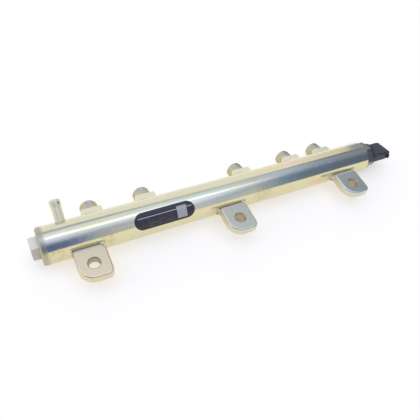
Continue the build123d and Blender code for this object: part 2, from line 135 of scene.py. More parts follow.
def spread(tree, value, low, high, to_low=0.0, to_high=1.0):
    """Value moved smoothly from the range low to high into another range, and held at its ends."""
    links = {"Value": value, "From Min": low, "From Max": high, "To Min": to_low, "To Max": to_high}
    return node(tree, "ShaderNodeMapRange", links, interpolation_type="SMOOTHSTEP").outputs["Result"]


def near(tree, vector, centre, inner, outer):
    """Mask that is 1 within inner metres of a point and fades to 0 at outer."""
    away = node(tree, "ShaderNodeVectorMath", {0: vector, 1: centre}, operation="DISTANCE").outputs["Value"]
    return spread(tree, away, inner, outer, 1.0, 0.0)


def between(tree, value, low, high, soft):
    """Mask that is 1 between two values, with soft edges."""
    rise = spread(tree, value, low - soft, low + soft)
    fall = spread(tree, value, high - soft, high + soft, 1.0, 0.0)
    return maths(tree, "MULTIPLY", rise, fall)


def new_material(name):
    """An empty node material: the material, its tree and its output node."""
    material = bpy.data.materials.new(name)
    material.use_nodes = True
    material.node_tree.nodes.clear()
    return material, material.node_tree, material.node_tree.nodes.new("ShaderNodeOutputMaterial")


def show(mesh, name):
    """Makes an object of a bmesh, at the origin, and frees the bmesh."""
    data = bpy.data.meshes.new(name)
    mesh.to_mesh(data)
    mesh.free()
    made = bpy.data.objects.new(name, data)
    scene.collection.objects.link(made)
    return made


# The studio is plain white all round
world = bpy.data.worlds.new("studio")
world.use_nodes = True
world.node_tree.nodes["Background"].inputs["Color"].default_value = (1.0, 1.0, 1.0, 1.0)
scene.world = world

table_mesh = bmesh.new()
bmesh.ops.create_circle(table_mesh, cap_ends=True, segments=table_sides, radius=table_radius)
bmesh.ops.translate(table_mesh, verts=table_mesh.verts, vec=(0, 0, cad_box[0].z - table_drop))
table = show(table_mesh, "table")
paper, tree, output = new_material("paper")
light_path = node(tree, "ShaderNodeLightPath")
seen = maths(tree, "MAXIMUM", light_path.outputs["Is Camera Ray"], light_path.outputs["Is Glossy Ray"])
seen = maths(tree, "MAXIMUM", seen, light_path.outputs["Is Transmission Ray"])
place = node(tree, "ShaderNodeTexCoord").outputs["Object"]
parts = node(tree, "ShaderNodeSeparateXYZ", {0: place})
# Painted shade: the paper is painted darker, and glows less, under the tube and behind lugs 2 and 3
painted_shade = between(tree, parts.outputs["X"], *tube_shade_x, tube_shade_soft)
painted_shade = maths(tree, "MULTIPLY", painted_shade, between(tree, parts.outputs["Y"], *tube_shade_y, tube_shade_soft))
painted_shade = maths(tree, "MULTIPLY", painted_shade, tube_shade_depth)
for x, y in lug_shade_places:
    spot = (x, y, cad_box[0].z - table_drop)
    painted_shade = maths(tree, "MAXIMUM", painted_shade, near(tree, place, spot, *lug_shade_reach))
sheet = node(tree, "ShaderNodeBsdfDiffuse", {"Color": mix(tree, painted_shade, paper_colour, shade_colour)})
glow = maths(tree, "MULTIPLY", seen, paper_glow)
glow = maths(tree, "MULTIPLY", glow, maths(tree, "MULTIPLY_ADD", painted_shade, -shade_on_glow, 1.0))
glow = node(tree, "ShaderNodeEmission", {"Strength": glow})
both = node(tree, "ShaderNodeAddShader", {0: sheet.outputs[0], 1: glow.outputs[0]})
tree.links.new(both.outputs[0], output.inputs["Surface"])
table.data.materials.append(paper)


# Light tent: a half cylinder of white cloth over the rail, glowing softly, and the studio's only lamp. Its
# front is darker, which draws the blue band along the tube, and its roof has a brighter seam. Places round
# it run from 0 at the front hem to 1 at the back one, and along it from 0 to 1 over what the rail mirrors.
tent_radius = 1.2
tent_left = -2.6
tent_right = 3.2
tent_steps = 72
roof_slant = 0.096
along_start = -0.1
along_span = 1.2
low_front_along = (0.60, 0.84)
low_front_level = 0.62
low_front_round = (0.11, 0.20)
lower_roof_round = (0.38, 0.47)
upper_roof_round = (0.58, 0.68)
edge_along = (0.55, 0.66)
edge_widths = (0.06, 0.12)
back_round = (0.762, 0.775)
hem_round = (0.045, 0.085)
seam_light = (0.56, 0.62, 0.78)
white = (1.0, 1.0, 1.0)
black = (0.0, 0.0, 0.0)


def ramp(tree, factor, stops, mode="LINEAR"):
    """Colour of a ramp; stops are (place, colour) pairs."""
    made = node(tree, "ShaderNodeValToRGB", {"Fac": factor})
    made.color_ramp.interpolation = mode
    elements = made.color_ramp.elements
    while len(elements) < len(stops):
        elements.new(0.5)
    for element, (place, colour) in zip(elements, stops):
        element.position = place
        element.color = (*colour, 1.0)
    return made.outputs["Color"]


tube_low, tube_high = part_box("rail_tube")
axis_y = (tube_low.y + tube_high.y) / 2
axis_z = (tube_low.z + tube_high.z) / 2
tube_r = (tube_high.z - tube_low.z) / 2
tent_mesh = bmesh.new()
rim = [tent_mesh.verts.new((x, axis_y - tent_radius, axis_z)) for x in (tent_left, tent_right)]
edge = tent_mesh.edges.new(rim)
bmesh.ops.spin(tent_mesh, geom=[*rim, edge], cent=(0, axis_y, axis_z), axis=(-1, 0, 0), angle=math.pi,
               steps=tent_steps)
tent = show(tent_mesh, "tent")
tent.visible_camera = False
cloth, tree, output = new_material("tent_cloth")
place = node(tree, "ShaderNodeTexCoord").outputs["Object"]
centred = node(tree, "ShaderNodeVectorMath", {0: place, 1: (0, axis_y, axis_z)}, operation="SUBTRACT")
parts = node(tree, "ShaderNodeSeparateXYZ", {0: centred.outputs[0]})
angle = maths(tree, "ARCTAN2", parts.outputs["Z"], maths(tree, "MULTIPLY", parts.outputs["Y"], -1.0))
turn = maths(tree, "DIVIDE", angle, math.pi)
along = maths(tree, "DIVIDE", parts.outputs["X"], tent_radius)
slanted = maths(tree, "MULTIPLY_ADD", along, roof_slant, turn)
along = maths(tree, "DIVIDE", maths(tree, "SUBTRACT", along, along_start), along_span)
front = ramp(tree, along, [
    (0.050, (0.10, 0.17, 0.50)),
    (0.090, (0.36, 0.43, 0.74)),
    (0.130, (0.56, 0.57, 0.78)),
    (0.375, (0.65, 0.69, 0.96)),
    (0.442, (0.54, 0.60, 0.80)),
    (0.560, (0.60, 0.66, 0.86)),
    (0.615, (0.27, 0.37, 0.67)),
    (0.670, (0.18, 0.27, 0.57)),
    (0.792, (0.15, 0.21, 0.43)),
    (0.890, (0.145, 0.19, 0.35)),
    (0.960, (0.125, 0.16, 0.30)),
])
low_front = spread(tree, along, *low_front_along, 1.0, low_front_level)
low_front = mix(tree, spread(tree, slanted, *low_front_round), low_front, white)
front = mix(tree, 1.0, front, low_front, "MULTIPLY")
front_edge = ramp(tree, along, [
    (0.083, (0.29, 0.29, 0.29)),
    (0.375, (0.25, 0.25, 0.25)),
    (0.490, (0.26, 0.26, 0.26)),
    (0.600, (0.46, 0.46, 0.46)),
    (0.750, (0.49, 0.49, 0.49)),
])
roof = ramp(tree, slanted, [
    (0.28, (0.46, 0.52, 0.88)),
    (0.32, (0.50, 0.58, 1.00)),
    (0.36, (0.60, 0.72, 1.20)),
    (0.40, (0.74, 0.86, 1.38)),
    (0.44, (0.86, 0.98, 1.52)),
    (0.47, (0.95, 1.10, 1.65)),
    (0.55, (1.00, 1.10, 1.60)),
    (0.58, (0.95, 1.05, 1.55)),
    (0.65, (0.81, 0.93, 1.34)),
    (0.72, (0.62, 0.69, 0.95)),
    (0.755, (0.47, 0.53, 0.70)),
])
lower_gain = ramp(tree, along, [
    (0.150, white),
    (0.350, (1.42, 1.45, 1.45)),
    (0.420, (1.25, 1.30, 1.25)),
    (0.490, (1.12, 1.15, 1.12)),
    (0.550, (0.90, 1.00, 1.00)),
])
lower_gain = mix(tree, spread(tree, slanted, *lower_roof_round), lower_gain, white)
roof = mix(tree, 1.0, roof, lower_gain, "MULTIPLY")
fade = ramp(tree, along, [
    (0.360, white),
    (0.525, (0.76, 0.77, 0.78)),
    (0.658, (0.54, 0.59, 0.70)),
    (0.792, (0.33, 0.38, 0.48)),
    (0.904, (0.27, 0.31, 0.37)),
])
upper_fade = ramp(tree, along, [
    (0.250, (0.93, 0.93, 0.98)),
    (0.375, (0.76, 0.83, 0.94)),
    (0.480, (0.82, 0.86, 0.92)),
    (0.650, (0.72, 0.78, 0.84)),
    (0.790, (0.45, 0.48, 0.54)),
    (0.904, (0.38, 0.40, 0.47)),
])
fade = mix(tree, spread(tree, slanted, *upper_roof_round), fade, upper_fade)
roof = mix(tree, 1.0, roof, fade, "MULTIPLY")
seam = ramp(tree, slanted, [
    (0.455, black),
    (0.490, seam_light),
    (0.520, seam_light),
    (0.550, black),
])
seam_fade = ramp(tree, along, [(0.442, white), (0.642, black)])
roof = mix(tree, 1.0, roof, mix(tree, 1.0, seam, seam_fade, "MULTIPLY"), "ADD")
back = ramp(tree, along, [
    (0.658, white),
    (0.792, (0.86, 0.86, 0.86)),
    (0.892, (0.80, 0.80, 0.80)),
    (0.908, (0.42, 0.47, 0.62)),
])
edge_width = spread(tree, along, *edge_along, *edge_widths)
over_edge = maths(tree, "DIVIDE", maths(tree, "SUBTRACT", slanted, front_edge), edge_width)
over_edge = spread(tree, over_edge, -1.0, 1.0)
light = mix(tree, over_edge, front, roof)
light = mix(tree, spread(tree, slanted, *back_round), light, back)
light = mix(tree, spread(tree, turn, *hem_round), white, light)
shine = node(tree, "ShaderNodeEmission", {"Color": light})
tree.links.new(shine.outputs[0], output.inputs["Surface"])
tent.data.materials.append(cloth)


# Rail tube: thick-walled drawn steel, turned at both ends and zinc plated after brazing. Its passivation
# film is straw yellow with faint rose, green and lilac, dull at the turned ends, stained beside lug 1,
# speckled past lug 2, and pale with baked flux at the corners of lugs 2 and 3.
film_green = (0.71, 0.72, 0.48)
film_straw = (0.74, 0.68, 0.43)
film_gold = (0.77, 0.65, 0.35)
film_rose = (0.78, 0.66, 0.52)
film_lilac = (0.70, 0.66, 0.58)
film_middle = 0.54
drift_scale = 22.0
streak_stretch = (9.0, 260.0, 260.0)
mottle_scale = 420.0
scratch_ways = ((0.5, (30.0, 900.0, 900.0)), (-0.9, (40.0, 1100.0, 1100.0)))
scratch_line = (0.70, 0.76)
scratch_patch_scale = 90.0
scratch_patch = (0.50, 0.62)
rub_scale = 260.0
rub_edge = (0.56, 0.72)
tube_roughness = 0.065
tube_bump = 0.035 * mm
drawn_stretch = (12.0, 1500.0, 1500.0)
left_mottle_x = (tube_low.x + 12.0 * mm, tube_low.x + 60.0 * mm)
right_mottle_x = (0.040, 0.075)
turned_width = 3.0 * mm
turned_grey = (0.50, 0.45, 0.31)
low_strip_clock = (math.radians(28), math.radians(42))
low_strip_tint = (1.0, 0.96, 0.90)
high_strip_clock = (math.radians(92), math.radians(104))
high_strip_x = (0.0, 0.05)
high_strip_colour = (0.70, 0.69, 0.56)
right_top_x = (0.1285, 0.1335)
right_top_clock = (math.radians(88), math.radians(97))
right_top_shade_olive = (0.53, 0.51, 0.41)
stain_spots = (((-0.137, 0.0145, 0.0060), 2 * mm, 9 * mm), ((-0.1005, 0.0150, 0.0080), 1 * mm, 8 * mm))
stain_colour = (0.58, 0.47, 0.24)
speckle_spot = ((0.030, 0.0150, 0.0080), 3 * mm, 12 * mm)
speckle_colour = (0.42, 0.38, 0.20)
chip_spot = ((0.101, 0.0223, 0.0152), 0.3 * mm, 1.3 * mm)
chip_patch = ((0.087, 0.0236, 0.0157), 1.0 * mm, 5.0 * mm)
chip_colour = (0.60, 0.54, 0.48)
orange_spot = ((0.084, 0.0137, 0.0045), 3 * mm, 14 * mm)
orange_colour = (0.80, 0.58, 0.34)
flux_corners = ((-0.0160, 0.0138, 0.0040), (0.0990, 0.0138, 0.0040))
flux_reach = (2.5 * mm, 6.5 * mm)
flux_colour = (0.84, 0.76, 0.46)


def new_group(name, inputs, outputs):
    """An empty shader node group with number or vector sockets: its tree, its input and its output."""
    tree = bpy.data.node_groups.new(name, "ShaderNodeTree")
    kinds = {"Vector": "NodeSocketVector", "Colour": "NodeSocketColor"}
    for title in inputs:
        tree.interface.new_socket(title, in_out="INPUT", socket_type=kinds.get(title, "NodeSocketFloat"))
    for title in outputs:
        tree.interface.new_socket(title, in_out="OUTPUT", socket_type=kinds.get(title, "NodeSocketFloat"))
    return tree, tree.nodes.new("NodeGroupInput").outputs, tree.nodes.new("NodeGroupOutput").inputs


def stretched(tree, vector, scale):
    """Vector scaled by three numbers, which stretches a pattern."""
    return node(tree, "ShaderNodeVectorMath", {0: vector, 1: scale}, operation="MULTIPLY").outputs[0]


def cloud(tree, vector, scale, detail=2.0, roughness=0.5):
    """Value of one noise texture."""
    links = {"Vector": vector, "Scale": scale, "Detail": detail, "Roughness": roughness}
    return node(tree, "ShaderNodeTexNoise", links).outputs["Fac"]


# Passivation film: the colour drifts slowly, with drawn-out streaks along the rail and a small mottle
film_tree, given, put = new_group("passivation_film", ["Vector", "Drift", "Streaks", "Mottle"], ["Colour"])
drift = cloud(film_tree, given["Vector"], drift_scale)
streaks = cloud(film_tree, stretched(film_tree, given["Vector"], streak_stretch), 1.0)
mottle = cloud(film_tree, given["Vector"], mottle_scale, roughness=0.6)
level = film_middle
for pattern, strength in ((drift, given["Drift"]), (streaks, given["Streaks"]), (mottle, given["Mottle"])):
    above_middle = maths(film_tree, "SUBTRACT", pattern, 0.5)
    level = maths(film_tree, "MULTIPLY_ADD", above_middle, strength, level)
film_colour = ramp(film_tree, level, [
    (0.15, film_lilac),
    (0.32, film_rose),
    (0.46, film_straw),
    (0.56, film_straw),
    (0.68, film_green),
    (0.85, film_gold),
], "EASE")
film_tree.links.new(film_colour, put["Colour"])

# Handling wear: fine scratches in two directions, and dull rubbed spots
wear_tree, given, put = new_group("handling_wear", ["Vector", "Scale"], ["Scratches", "Rubbed"])
scaled = node(wear_tree, "ShaderNodeVectorMath", {0: given["Vector"], "Scale": given["Scale"]},
              operation="SCALE").outputs[0]
scratches = None
for tilt, stretch in scratch_ways:
    tilted = node(wear_tree, "ShaderNodeVectorRotate", {"Vector": scaled, "Angle": tilt},
                  rotation_type="Z_AXIS").outputs[0]
    lines = cloud(wear_tree, stretched(wear_tree, tilted, stretch), 1.0, 0.0)
    patches = spread(wear_tree, cloud(wear_tree, tilted, scratch_patch_scale, 1.0), *scratch_patch)
    lines = maths(wear_tree, "MULTIPLY", spread(wear_tree, lines, *scratch_line), patches)
    scratches = lines if scratches is None else maths(wear_tree, "MAXIMUM", scratches, lines)
rubbed = spread(wear_tree, cloud(wear_tree, scaled, rub_scale, 4.0, 0.65), *rub_edge)
wear_tree.links.new(scratches, put["Scratches"])
wear_tree.links.new(rubbed, put["Rubbed"])


def use_group(tree, group, links):
    """Outputs of a shader node group placed in a material."""
    made = tree.nodes.new("ShaderNodeGroup")
    made.node_tree = group
    for name, value in links.items():
        if isinstance(value, bpy.types.NodeSocket):
            tree.links.new(value, made.inputs[name])
        else:
            made.inputs[name].default_value = value
    return made.outputs


def coat(tree, output, colour, roughness, height, depth, metallic=1.0):
    """Principled surface with a bump of a given depth in metres."""
    bump = node(tree, "ShaderNodeBump", {"Height": height, "Distance": depth}).outputs["Normal"]
    links = {"Base Color": colour, "Roughness": roughness, "Metallic": metallic, "Normal": bump}
    surface = node(tree, "ShaderNodeBsdfPrincipled", links)
    tree.links.new(surface.outputs[0], output.inputs["Surface"])


def dress(names, material):
    """Gives CAD nodes a material."""
    for name in names:
        piece = frame["nodes"][name]
        piece.data.materials.clear()
        piece.data.materials.append(material)


tube_plating, tree, output = new_material("tube_plating")
place = node(tree, "ShaderNodeTexCoord").outputs["Object"]
parts = node(tree, "ShaderNodeSeparateXYZ", {0: place})
film = use_group(tree, film_tree, {"Vector": place, "Drift": 0.95, "Streaks": 1.15, "Mottle": 0.3})
film = film["Colour"]
wear = use_group(tree, wear_tree, {"Vector": place, "Scale": 1.0})
patchy = cloud(tree, place, 320.0, 3.0, 0.6)

# Clock is the angle round the tube, from 0 at the front to a quarter turn on top
raised = maths(tree, "SUBTRACT", parts.outputs["Z"], axis_z)
clock = maths(tree, "ARCTAN2", raised, maths(tree, "SUBTRACT", axis_y, parts.outputs["Y"]))
low_strip = spread(tree, clock, *low_strip_clock, 0.6, 0.0)
film = mix(tree, low_strip, film, low_strip_tint, "MULTIPLY")
high_strip = spread(tree, parts.outputs["X"], *high_strip_x, 0.75, 0.0)
high_strip = maths(tree, "MULTIPLY", high_strip, spread(tree, clock, *high_strip_clock))
film = mix(tree, high_strip, film, high_strip_colour)

# Masks of the turned ends, of the painted shade over the top of the right end, of the stains and chips, and
# of the flux
turned_x = tube_low.x + turned_width
turned = spread(tree, parts.outputs["X"], turned_x, turned_x + turned_width, 1.0, 0.0)
left_mottle = spread(tree, parts.outputs["X"], *left_mottle_x, 1.0, 0.0)
# Painted shade: the top of the tube's right end is painted a darker olive
right_top_shade = spread(tree, parts.outputs["X"], *right_top_x, 0.0, 0.7)
right_top_shade = maths(tree, "MULTIPLY", right_top_shade, spread(tree, clock, *right_top_clock))
stain = maths(tree, "MAXIMUM", near(tree, place, *stain_spots[0]), near(tree, place, *stain_spots[1]))
stain = maths(tree, "MULTIPLY", stain, spread(tree, patchy, 0.34, 0.70, 0.1, 0.8))
speckle = spread(tree, cloud(tree, place, 1000.0, 4.0, 0.75), 0.44, 0.66)
speckle = maths(tree, "MULTIPLY", speckle, near(tree, place, *speckle_spot))
chips = spread(tree, cloud(tree, place, 800.0, 2.0, 0.6), 0.52, 0.64, 0.0, 0.6)
chips = maths(tree, "MULTIPLY", chips, near(tree, place, *chip_patch))
chips = maths(tree, "MAXIMUM", chips, near(tree, place, *chip_spot))
orange = near(tree, place, *orange_spot)
flux = maths(tree, "MAXIMUM", near(tree, place, flux_corners[0], *flux_reach),
             near(tree, place, flux_corners[1], *flux_reach))
flux = maths(tree, "MULTIPLY", flux, spread(tree, patchy, 0.25, 0.50, 0.4, 1.0))

colour = mix(tree, stain, film, stain_colour)
colour = mix(tree, maths(tree, "MULTIPLY", speckle, 0.8), colour, speckle_colour)
colour = mix(tree, right_top_shade, colour, right_top_shade_olive)
colour = mix(tree, chips, colour, chip_colour)
colour = mix(tree, maths(tree, "MULTIPLY", orange, 0.5), colour, orange_colour)
colour = mix(tree, turned, colour, turned_grey)
colour = mix(tree, flux, colour, flux_colour)
roughness = tube_roughness
for mask, share in ((patchy, 0.07), (turned, 0.22), (left_mottle, 0.05), (wear["Rubbed"], 0.08),
                    (speckle, 0.18), (flux, 0.25)):
    roughness = maths(tree, "MULTIPLY_ADD", mask, share, roughness)
metallic = maths(tree, "SUBTRACT", 1.0, maths(tree, "MAXIMUM", chips, maths(tree, "MULTIPLY", flux, 0.3)))

# Height: ripples left by the dip, strongest at both ends, faint drawing lines, and the scratches
right_mottle = spread(tree, parts.outputs["X"], *right_mottle_x, 0.35, 0.65)
ripple = cloud(tree, place, 300.0, 2.0, 0.55)
ripple = maths(tree, "MULTIPLY", ripple, maths(tree, "MULTIPLY_ADD", left_mottle, 0.65, right_mottle))
drawn = cloud(tree, stretched(tree, place, drawn_stretch), 1.0, 1.0)
height = maths(tree, "MULTIPLY_ADD", drawn, 0.10, ripple)
height = maths(tree, "SUBTRACT", height, maths(tree, "MULTIPLY", wear["Scratches"], 0.05))
coat(tree, output, colour, roughness, height, tube_bump, metallic)
dress(["rail_tube"], tube_plating)


# Mounting lugs: plates blanked from 7 mm steel, tumbled smooth, brazed on and plated with the tube. Their
# faces are satin with a soft grain and a few rub marks, warmer on lug 1 and cooler on lug 3, with duller
# rolled edges, side walls painted a little darker as painted shade, a braze-tinted inner edge, and painted
# shade in dark brown inside the bolt holes.
lug_roughness = 0.235
lug_bump = 0.0012 * mm
lug_pitch = 115.5 * mm
lug_hole_r = 4.25 * mm
lug_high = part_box("lug_1")[1]
inner_edge_y = (axis_y - tube_r - 2.1 * mm, axis_y - tube_r - 1.9 * mm)
inner_edge_z = (lug_high.z - 2.2 * mm, lug_high.z - 1.7 * mm)
lug_1_x = (-0.10, -0.06)
lug_3_x = (0.06, 0.10)
hole_shade_reach = (lug_hole_r + 0.1 * mm, lug_hole_r + 0.9 * mm)
face_colour = (0.76, 0.70, 0.52)
lug_1_warm = (0.88, 0.70, 0.38)
lug_3_cool = (0.73, 0.72, 0.56)
side_shade_colour = (0.70, 0.67, 0.50)
inner_edge_colour = (0.74, 0.66, 0.48)
hole_shade_colour = (0.42, 0.33, 0.19)
lug_plating, tree, output = new_material("lug_plating")
place = node(tree, "ShaderNodeTexCoord").outputs["Object"]
parts = node(tree, "ShaderNodeSeparateXYZ", {0: place})
film = use_group(tree, film_tree, {"Vector": place, "Drift": 0.8, "Streaks": 0.0, "Mottle": 0.25})["Colour"]
wear = use_group(tree, wear_tree, {"Vector": place, "Scale": 0.8})
grain = cloud(tree, place, 1100.0, 2.0, 0.6)

# Masks of the outer lugs, of the rolled edges and the sides with their painted shade, of the inner edge,
# and of the painted shade in the holes
warm = spread(tree, parts.outputs["X"], *lug_1_x, 0.85, 0.0)
cool = spread(tree, parts.outputs["X"], *lug_3_x, 0.0, 0.7)
facing = node(tree, "ShaderNodeSeparateXYZ", {0: node(tree, "ShaderNodeNewGeometry").outputs["Normal"]})
tilt = maths(tree, "SUBTRACT", 1.0, maths(tree, "ABSOLUTE", facing.outputs["Z"]))
# Painted shade: the side walls are painted a little darker and greyer than the faces
side_shade = spread(tree, tilt, 0.60, 0.90, 0.0, 0.6)
rolled = spread(tree, tilt, 0.005, 0.05)
inner_edge = maths(tree, "MULTIPLY", spread(tree, parts.outputs["Y"], *inner_edge_y),
                   spread(tree, parts.outputs["Z"], *inner_edge_z))
# Painted shade: the walls of the bolt holes are painted dark brown
from_hole = maths(tree, "WRAP", parts.outputs["X"], lug_pitch / 2, -lug_pitch / 2)
from_hole = node(tree, "ShaderNodeCombineXYZ", {0: from_hole, 1: parts.outputs["Y"]}).outputs[0]
from_hole = node(tree, "ShaderNodeVectorMath", {0: from_hole}, operation="LENGTH").outputs["Value"]
hole_shade = spread(tree, from_hole, *hole_shade_reach, 0.75, 0.0)

colour = mix(tree, 0.45, film, face_colour)
colour = mix(tree, warm, colour, lug_1_warm)
colour = mix(tree, cool, colour, lug_3_cool)
colour = mix(tree, maths(tree, "MULTIPLY", wear["Rubbed"], 0.35), colour, film_lilac)
colour = mix(tree, side_shade, colour, side_shade_colour)
colour = mix(tree, inner_edge, colour, inner_edge_colour)
colour = mix(tree, hole_shade, colour, hole_shade_colour)
roughness = lug_roughness
for mask, share in ((grain, 0.03), (wear["Rubbed"], 0.03), (rolled, 0.20), (inner_edge, 0.20)):
    roughness = maths(tree, "MULTIPLY_ADD", mask, share, roughness)
metallic = maths(tree, "MULTIPLY_ADD", inner_edge, -0.8, 1.0)
height = maths(tree, "SUBTRACT", grain, maths(tree, "MULTIPLY", wear["Scratches"], 0.6))
coat(tree, output, colour, roughness, height, lug_bump, metallic)
dress(["lug_1", "lug_2", "lug_3"], lug_plating)


# Pipe stubs: steel forgings with a square foot cut to the tube's round, brazed over holes in the tube.
# Each has a rolled M14 x 1.5 thread for a union nut and a 60 degree cone that the pipe's ball end seats
# in. They were plated with the tube, and their forged skin keeps the film paler and a little rougher.
thread_pitch = 1.5 * mm
thread_depth = 0.92 * mm
thread_steps = 48
thread_profile = ((0.0, 1.0), (0.06, 1.0), (0.16, 0.72), (0.34, 0.20), (0.42, 0.0),
                  (0.58, 0.0), (0.66, 0.20), (0.84, 0.72), (0.94, 1.0), (1.0, 1.0))
stub_tip = 29.7 * mm
stub_tip_r = 5.0 * mm
foot_top = 18.2 * mm
neck_w = 1.4 * mm
neck_r = 6.0 * mm
cone_mouth_r = 4.5 * mm
cone_half_angle = math.radians(30)
stub_bore_r = 1.8 * mm
stub_sharp_angle = math.radians(14)
stub_colour = (0.80, 0.76, 0.61)
stub_roughness = 0.16
stub_bump = 0.02 * mm
merge_reach = 0.001 * mm
mounts = {mount["name"]: mount for mount in frame["record"]["mounts"]}
union = mounts["outlet_1_union"]
stub_out = Vector(union["axis"])
stub_root = Vector((union["pos_m"][0], axis_y, axis_z))
thread_r = union["dims"]["r_mm"] * mm


def copied(name):
    """A bmesh of a CAD node with its loose triangles merged."""
    mesh = bmesh.new()
    mesh.from_mesh(frame["nodes"][name].data)
    bmesh.ops.remove_doubles(mesh, verts=mesh.verts, dist=merge_reach)
    return mesh


def open_rims(mesh, centre, direction):
    """Loops of open edges, from the widest to the narrowest round the line through centre."""
    loops = []
    waiting = {edge for edge in mesh.edges if edge.is_boundary}
    while waiting:
        loop = [waiting.pop()]
        for edge in loop:
            joined = {e for vert in edge.verts for e in vert.link_edges if e in waiting}
            waiting -= joined
            loop.extend(joined)
        loops.append(loop)
    return sorted(loops, key=lambda loop: -(loop[0].verts[0].co - centre).cross(direction).length)


def put_on_ring(verts, place, radius):
    """Moves a loop of points to a ring of this radius, this far out along the stub."""
    for vert in verts:
        across = vert.co - stub_root
        across -= stub_out * across.dot(stub_out)
        vert.co = stub_root + stub_out * place + across.normalized() * radius


foot = copied("outlet_1")
cut = stub_root + stub_out * (foot_top + neck_w / 2)
bmesh.ops.bisect_plane(foot, geom=[*foot.verts, *foot.edges, *foot.faces], plane_co=cut, plane_no=stub_out,
                       clear_outer=True)

# One pitch of the thread's profile, wound up the stub, trimmed at both ends and turned down to the lead-ins
thread_side = Vector((1.0, 0.0, 0.0))
thread_start = foot_top + neck_w
thread = bmesh.new()
points = []
for share, crest in thread_profile:
    reach = thread_start + (share - 2.0) * thread_pitch
    radius = thread_r - thread_depth * (1 - crest)
    points.append(thread.verts.new(stub_root + stub_out * reach + thread_side * radius))
strip = [thread.edges.new(pair) for pair in zip(points, points[1:])]
turns = math.ceil((stub_tip - thread_start) / thread_pitch) + 3
bmesh.ops.spin(thread, geom=[*points, *strip], cent=stub_root, axis=stub_out, angle=2 * math.pi * turns,
               dvec=stub_out * (thread_pitch / thread_steps), steps=thread_steps * turns)
bmesh.ops.remove_doubles(thread, verts=thread.verts, dist=merge_reach)
for place_out, direction in ((stub_tip, stub_out), (thread_start, -stub_out)):
    bmesh.ops.bisect_plane(thread, geom=[*thread.verts, *thread.edges, *thread.faces], dist=merge_reach,
                           plane_co=stub_root + stub_out * place_out, plane_no=direction, clear_outer=True)
for vert in thread.verts:
    reach = (vert.co - stub_root).dot(stub_out)
    across = vert.co - stub_root - stub_out * reach
    limit = min(stub_tip_r + stub_tip - reach, neck_r + (reach - thread_start))
    if across.length > limit:
        vert.co = stub_root + stub_out * reach + across.normalized() * limit

# The outer rim is carried in to the cone's mouth and down the cone to the bore
thread_rims = open_rims(thread, stub_root, stub_out)
outer = max(thread_rims, key=lambda loop: (loop[0].verts[0].co - stub_root).dot(stub_out))
cone_foot = stub_tip - (cone_mouth_r - stub_bore_r) / math.tan(cone_half_angle)
for reach, radius in ((stub_tip, cone_mouth_r), (cone_foot, stub_bore_r)):
    grown = bmesh.ops.extrude_edge_only(thread, edges=outer)["geom"]
    outer = [part for part in grown if isinstance(part, bmesh.types.BMEdge)]
    put_on_ring({vert for edge in outer for vert in edge.verts}, reach, radius)
thread_data = bpy.data.meshes.new("thread")
thread.to_mesh(thread_data)
thread.free()

# The threaded barrel is set on the forged foot, round its bore
foot.from_mesh(thread_data)
bpy.data.meshes.remove(thread_data)
loops = open_rims(foot, stub_root, stub_out)
bmesh.ops.bridge_loops(foot, edges=[*loops[0], *loops[1]])
bmesh.ops.bridge_loops(foot, edges=[*loops[2], *loops[3]])
bmesh.ops.recalc_face_normals(foot, faces=foot.faces)
stub_data = bpy.data.meshes.new("stub")
foot.to_mesh(stub_data)
foot.free()

stub_plating, tree, output = new_material("stub_plating")
place = node(tree, "ShaderNodeTexCoord").outputs["Object"]
film = use_group(tree, film_tree, {"Vector": place, "Drift": 0.9, "Streaks": 0.0, "Mottle": 0.9})["Colour"]
wear = use_group(tree, wear_tree, {"Vector": place, "Scale": 1.2})
colour = mix(tree, 0.70, film, stub_colour)
colour = mix(tree, maths(tree, "MULTIPLY", wear["Rubbed"], 0.5), colour, film_lilac)
forged = cloud(tree, place, 700.0, 4.0, 0.65)
roughness = maths(tree, "MULTIPLY_ADD", forged, 0.16, stub_roughness)
coat(tree, output, colour, roughness, forged, stub_bump, metallic=0.85)

for name in ("outlet_1", "outlet_2", "outlet_3", "outlet_4", "pump_inlet"):
    data = stub_data.copy()
    data.transform(Matrix.Translation((mounts[name + "_union"]["pos_m"][0] - stub_root.x, 0, 0)))
    data.shade_smooth()
    data.set_sharp_from_angle(angle=stub_sharp_angle)
    data.materials.clear()
    data.materials.append(stub_plating)
    stub = bpy.data.objects.new("stub_" + name, data)
    scene.collection.objects.link(stub)
    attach(stub, "rail")
    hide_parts(name)
bpy.data.meshes.remove(stub_data)


# Return barb: a drawn steel nipple with a rolled bead, brazed in and plated with the tube. The film on it
# is pale and half matt, and a small dark spot is painted near its tip.
barb_colour = (1.0, 0.90, 0.50)
barb_roughness = 0.26
barb_bump = 0.015 * mm
dark_spot = ((-0.1262, 0.0490, 0.0180), 0.4 * mm, 1.3 * mm)
dark_spot_colour = (0.12, 0.11, 0.08)
barb_plating, tree, output = new_material("barb_plating")
place = node(tree, "ShaderNodeTexCoord").outputs["Object"]
film = use_group(tree, film_tree, {"Vector": place, "Drift": 0.8, "Streaks": 0.0, "Mottle": 0.6})["Colour"]
colour = mix(tree, 0.85, film, barb_colour)
colour = mix(tree, near(tree, place, *dark_spot), colour, dark_spot_colour)
grain = cloud(tree, place, 800.0, 3.0, 0.6)
roughness = maths(tree, "MULTIPLY_ADD", grain, 0.14, barb_roughness)
coat(tree, output, colour, roughness, grain, barb_bump, metallic=0.35)
dress(["return_barb"], barb_plating)


